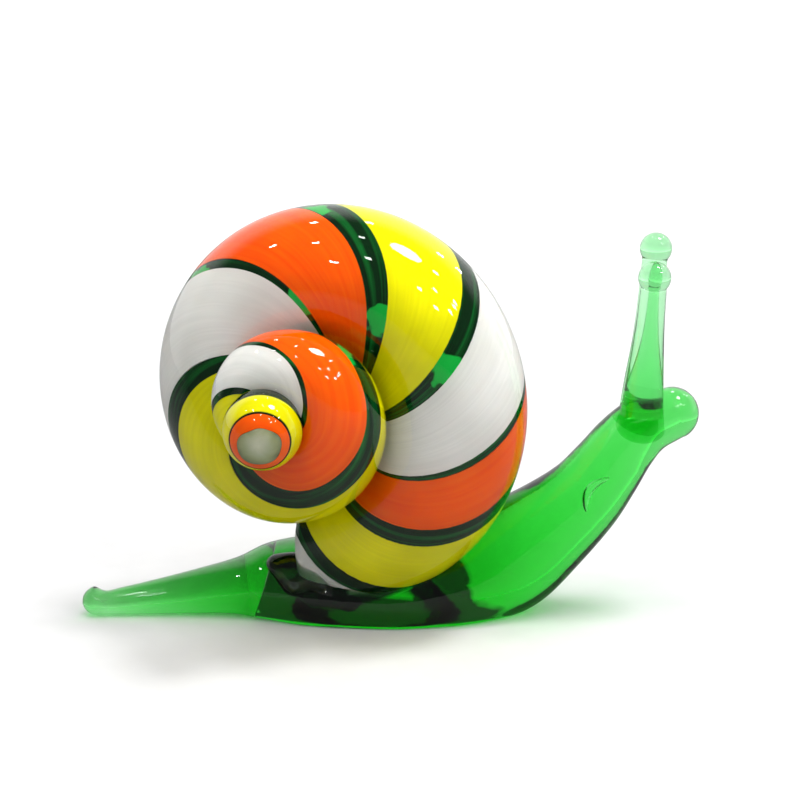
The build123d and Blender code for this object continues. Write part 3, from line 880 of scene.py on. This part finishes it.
def tentacle(name, root_offset, ball_offset, shares):
    """A ball-ended stalk between two points that are measured from the head's centre.

    shares are the stalk's widths from its root on, each as a share of the root's radius.
    """
    root, ball = head_centre + root_offset, head_centre + ball_offset
    way, length = unit(ball - root), np.linalg.norm(ball - root)
    side = unit(np.cross(way, (0, 1, 0)))
    other = np.cross(way, side)
    stalk_length = length - (BALL_RADIUS**2 - TIP_RADIUS**2) ** 0.5
    widths = [ROOT_RADIUS * share for share in shares] + [TIP_RADIUS]
    profile = [(-ROOT_CAP * cos(radians(a)), widths[0] * sin(radians(a)))
               for a in range(4, 90, 8)]
    # the stalk's last ring stops just short of the ball's first
    profile += [(place / len(shares) * stalk_length, between(widths, place))
                for place in np.linspace(0, len(shares) - 0.03, STALK_RINGS)]
    ball_start = np.degrees(np.arcsin(TIP_RADIUS / BALL_RADIUS)) + 2
    profile += [(length - BALL_RADIUS * cos(radians(a)), BALL_RADIUS * sin(radians(a)))
                for a in np.linspace(ball_start, 178, BALL_RINGS)]
    a = np.linspace(0, 2 * pi, STALK_POINTS, endpoint=False)[:, None]
    spokes = np.cos(a) * side + np.sin(a) * other
    return skin(name, [root + way * along + radius * spokes for along, radius in profile])


near_feeler = tentacle("near_feeler", (-3.27, -1.43, -1.1), (-2.6, -4.0, 14.6),
                       (1.17, 1.0, 0.84, 0.71))
far_feeler = tentacle("far_feeler", (-3.34, 1.15, -1.0), (-1.8, 2.5, 16.2),
                      (1.0, 0.87, 0.69, 0.63))
settle(near_feeler, "near_tentacle", pale_rod)
settle(far_feeler, "far_tentacle", pale_rod)

# %% [markdown]
# ## The weld
# A lump of green glass fuses the start of the cane to the foot. It was dabbed on, so it is a
# drop with an uneven skin.

# %% Weld
WELD_HALF, WELD_THICK, WELD_TILT = 5.2, 2.1, radians(24)
WELD_RINGS, WELD_POINTS = 40, 48
weld_centre = np.array([-7.4, -4.1, 4.4])
weld_way = np.array([cos(WELD_TILT), 0, -sin(WELD_TILT)])
weld_side = np.array([0.0, -1.0, 0.0])
weld_up = np.cross(weld_side, weld_way)
around = np.linspace(0, 2 * pi, WELD_POINTS, endpoint=False)[:, None]
spokes = np.cos(around) * weld_side + np.sin(around) * weld_up
weld_rings = []
for a in np.linspace(4, 176, WELD_RINGS):
    along = -WELD_HALF * cos(radians(a))
    lumps = (1 + 0.09 * np.sin(3 * around + 0.9 * along)
             + 0.07 * np.sin(2 * around - 1.7 * along))
    weld_rings.append(weld_centre + weld_way * along
                      + WELD_THICK * sin(radians(a)) * lumps * spokes)
settle(skin("weld_lump", weld_rings), "weld", weld_rod)

# %% [markdown]
# ## Table and light
# The snail stands on a plain white table before a white backdrop, and the room in front of it
# is dimmer. The table takes the shadow. A little light of its own, for the camera and for
# what is seen through glass, keeps it white without more light on the snail; it grows where
# the lamps' light ends. Mirrored and scattered light finds the table dimmer, so that the glass
# is not veiled and the snail's underside stays dark.

# %% Kinds of rays
def seen_rays(tree):
    """The kinds of rays, and a value that is 1 for what is seen directly or through glass."""
    rays = add(tree, "ShaderNodeLightPath").outputs
    seen = add(tree, "ShaderNodeMath", {"operation": "MAXIMUM"},
               {0: rays["Is Camera Ray"], 1: rays["Is Transmission Ray"]})
    return rays, seen.outputs["Value"]


# %% Table
# the half side, and how far the top lies below the snail so that the faces don't fight, in metres
HALF_SIDE, SINK = 6.0, 0.02 * MM
# where the table's own light begins to grow and where it is full, in metres from the snail
GLOW_BEGIN, GLOW_FULL, LEAST_GLOW = 0.1, 0.8, 0.02
SPECK_MM = 3.0
corners = [(x * HALF_SIDE, y * HALF_SIDE, -SINK) for x, y in ((-1, -1), (1, -1), (1, 1), (-1, 1))]
floor_mesh = bpy.data.meshes.new("table_top")
floor_mesh.from_pydata(corners, [], [(0, 1, 2, 3)])
floor = bpy.data.objects.new("table_top", floor_mesh)
bpy.context.scene.collection.objects.link(floor)
laminate, tree = new_material("white_table_laminate")
spot = add(tree, "ShaderNodeTexCoord")
speck = add(tree, "ShaderNodeTexNoise", {"Scale": per_metre(SPECK_MM), "Detail": 2.0},
            {"Vector": spot.outputs["Object"]})
tone = add(tree, "ShaderNodeMix",
           {"data_type": "RGBA", 6: linear("#ededed"), 7: linear("#f3f3f3")},
           {"Factor": speck.outputs["Fac"]})
_, seen = seen_rays(tree)
shade = add(tree, "ShaderNodeMix", {"data_type": "RGBA", 6: linear("#9c9c9c")},
            {"Factor": seen, 7: tone.outputs[2]})
matt = add(tree, "ShaderNodeBsdfDiffuse", {}, {"Color": shade.outputs[2]})
far = add(tree, "ShaderNodeVectorMath", {"operation": "LENGTH"}, {0: spot.outputs["Object"]})
far_glow = add(tree, "ShaderNodeMapRange",
               {"From Min": GLOW_BEGIN, "From Max": GLOW_FULL, "To Min": LEAST_GLOW, "To Max": 1.0},
               {"Value": far.outputs["Value"]})
glow = add(tree, "ShaderNodeMath", {"operation": "MULTIPLY"},
           {0: seen, 1: far_glow.outputs["Result"]})
light = add(tree, "ShaderNodeEmission", {}, {"Strength": glow.outputs["Value"]})
both = add(tree, "ShaderNodeAddShader", {}, {0: matt.outputs["BSDF"], 1: light.outputs["Emission"]})
add(tree, "ShaderNodeOutputMaterial", {}, {"Surface": both.outputs["Shader"]})
floor_mesh.materials.append(laminate)
floor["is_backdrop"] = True
print("table:", HALF_SIDE * 2, "m square")

# %% [markdown]
# The world is three things. The camera sees a plain white backdrop. Glass shows the backdrop
# behind the snail and the dim room in front of it and above. All other light is a weak, even
# fill.

# %% World
WHITE, DIM = (1.0, 1.0, 1.0, 1), (0.12, 0.12, 0.13, 1)
ROOM_WAY, ROOM_BEGIN, ROOM_FULL = (0.0, -0.75, 0.66), -0.12, 0.3
FILL = 0.3
world = bpy.data.worlds.new("studio")
bpy.context.scene.world = world
world.use_nodes = True
tree = world.node_tree
tree.nodes.clear()
way = add(tree, "ShaderNodeTexCoord")
to_room = add(tree, "ShaderNodeVectorMath", {"operation": "DOT_PRODUCT", 1: ROOM_WAY},
              {0: way.outputs["Generated"]})
nearness = add(tree, "ShaderNodeMapRange",
               {"From Min": ROOM_BEGIN, "From Max": ROOM_FULL, "interpolation_type": "SMOOTHSTEP"},
               {"Value": to_room.outputs["Value"]})
room = add(tree, "ShaderNodeMix", {"data_type": "RGBA", 6: WHITE, 7: DIM},
           {"Factor": nearness.outputs["Result"]})
rays, seen = seen_rays(tree)
in_glass = add(tree, "ShaderNodeMath", {"operation": "MAXIMUM"},
               {0: seen, 1: rays["Is Glossy Ray"]})
fill = add(tree, "ShaderNodeBackground", {"Color": WHITE, "Strength": FILL})
studio = add(tree, "ShaderNodeBackground", {"Strength": 1.0}, {"Color": room.outputs[2]})
backdrop = add(tree, "ShaderNodeBackground", {"Color": WHITE, "Strength": 1.0})
indirect = add(tree, "ShaderNodeMixShader", {},
             {0: in_glass.outputs["Value"], 1: fill.outputs["Background"],
              2: studio.outputs["Background"]})
chosen = add(tree, "ShaderNodeMixShader", {},
             {0: rays["Is Camera Ray"], 1: indirect.outputs["Shader"],
              2: backdrop.outputs["Background"]})
add(tree, "ShaderNodeOutputWorld", {}, {"Surface": chosen.outputs["Shader"]})
print("world:", world.name)

# %% [markdown]
# The photograph's highlights tell where its lamps were: a ray from the camera is mirrored at
# each highlight, and it ends at a lamp. One soft lamp hangs nearly overhead, to the right, and
# small bulbs about it leave the small dots. A ceiling panel and a fill lamp add even light,
# and the glass doesn't mirror them.

# %% Lamps
AIM = np.array([-2.0, 0.0, 22.0]) * MM
BULB_DISTANCE, BULB_SIZE, BULB_BRIGHTNESS = 0.9, 0.05, 34.0


def lamp(name, direction, distance, size, brightness, mirrored=True):
    """A round lamp at a direction from the snail, with its distance and size in metres.

    Brightness is the lamp's own, so its power goes with its area.
    """
    data = bpy.data.lights.new(name, "AREA")
    data.shape, data.size = "DISK", size
    data.energy = brightness * pi * (pi * (size / 2) ** 2)
    made = bpy.data.objects.new(name, data)
    back = unit(direction)
    made.location = AIM + back * distance
    made.rotation_euler = Vector(-back).to_track_quat("-Z", "Y").to_euler()
    made.visible_camera = False
    made.visible_glossy = mirrored
    bpy.context.scene.collection.objects.link(made)


lamp("soft_lamp", (0.36, 0.0, 0.93), 0.9, 0.24, 24.0)
lamp("ceiling_panel", (-0.1, -0.25, 0.96), 1.3, 1.1, 1.75, mirrored=False)
lamp("fill_lamp", (0.5, -0.8, 0.45), 1.2, 0.5, 1.5, mirrored=False)
bulbs = ((-0.25, 0.39, 0.89), (-0.36, -0.23, 0.90), (-0.34, -0.65, 0.68), (0.02, -0.01, 1.0),
         (-0.04, -0.50, 0.86), (0.12, 0.51, 0.85), (0.63, 0.56, 0.53), (0.59, -0.05, 0.81),
         (0.34, -0.62, 0.71), (0.53, -0.43, 0.73), (0.72, -0.29, 0.64), (0.62, -0.54, 0.57),
         (0.44, -0.70, 0.57), (0.70, -0.38, 0.61), (0.54, 0.55, 0.64), (-0.60, -0.05, 0.80))
for number, direction in enumerate(bulbs):
    lamp(f"bulb_{number}", direction, BULB_DISTANCE, BULB_SIZE, BULB_BRIGHTNESS)
print("lamps:", 3 + len(bulbs))

# %% [markdown]
# ## Camera
# The camera looks along +Y and fifteen degrees down, with a long lens, as the photograph does.

# %% Camera
CAMERA_TARGET = np.array([1.11, 1.0, 21.70]) * MM
CAMERA_DISTANCE, CAMERA_ELEVATION = 222 * MM, radians(15)
camera_data = bpy.data.cameras.new("camera")
camera_data.lens, camera_data.sensor_width = 100, 36
camera_data.clip_start, camera_data.clip_end = 0.01, 50
camera = bpy.data.objects.new("camera", camera_data)
camera_way = np.array([0, -cos(CAMERA_ELEVATION), sin(CAMERA_ELEVATION)])
camera.location = CAMERA_TARGET + CAMERA_DISTANCE * camera_way
camera.rotation_euler = (pi / 2 - CAMERA_ELEVATION, 0, 0)
bpy.context.scene.collection.objects.link(camera)
bpy.context.scene.camera = camera
bpy.context.scene.view_settings.view_transform = "Standard"
print("camera at", [round(v, 4) for v in camera.location])

# %% Sizes, and the end
bpy.context.view_layer.update()
low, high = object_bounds()
sizes = {"cad": [list(cad_low), list(cad_high)], "visual": [list(low), list(high)]}
print("CAD box", [round(v / MM, 1) for v in (*cad_low, *cad_high)])
print("visual box", [round(v / MM, 1) for v in (*low, *high)])
